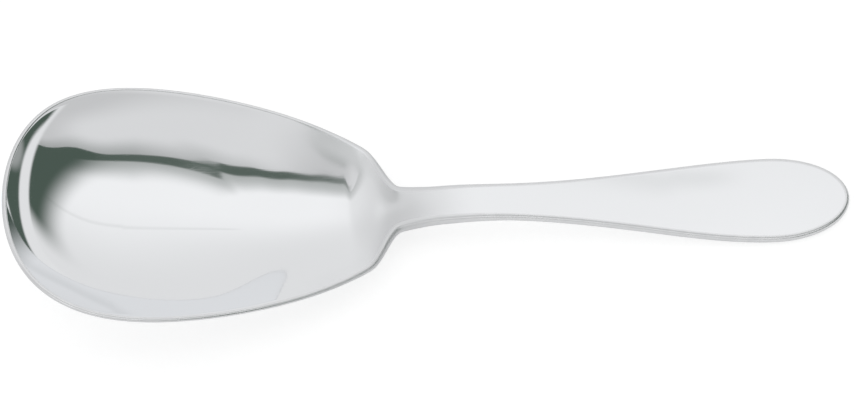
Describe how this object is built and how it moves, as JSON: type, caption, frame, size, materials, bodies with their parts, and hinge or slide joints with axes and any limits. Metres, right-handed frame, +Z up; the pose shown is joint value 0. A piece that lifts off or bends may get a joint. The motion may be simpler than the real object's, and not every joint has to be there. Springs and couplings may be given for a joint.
{
  "type": "rice serving spoon",
  "caption": "One-piece polished steel rice spoon: deep egg-shaped bowl, narrow arched neck, flat handle that widens to a round end.",
  "frame": {"origin": "on the table, under the middle of the spoon's length and width", "axes": "+X along the spoon from the bowl to the end of the handle, +Y across it, +Z up, open side of the bowl upward"},
  "size_m": [0.245, 0.076, 0.0264],
  "materials": {
    "polished_steel": "mirror polished stainless steel, bare, with fine wiping scratches"
  },
  "bodies": {
    "root": {"spoon": "polished_steel"}
  },
  "joints": []
}
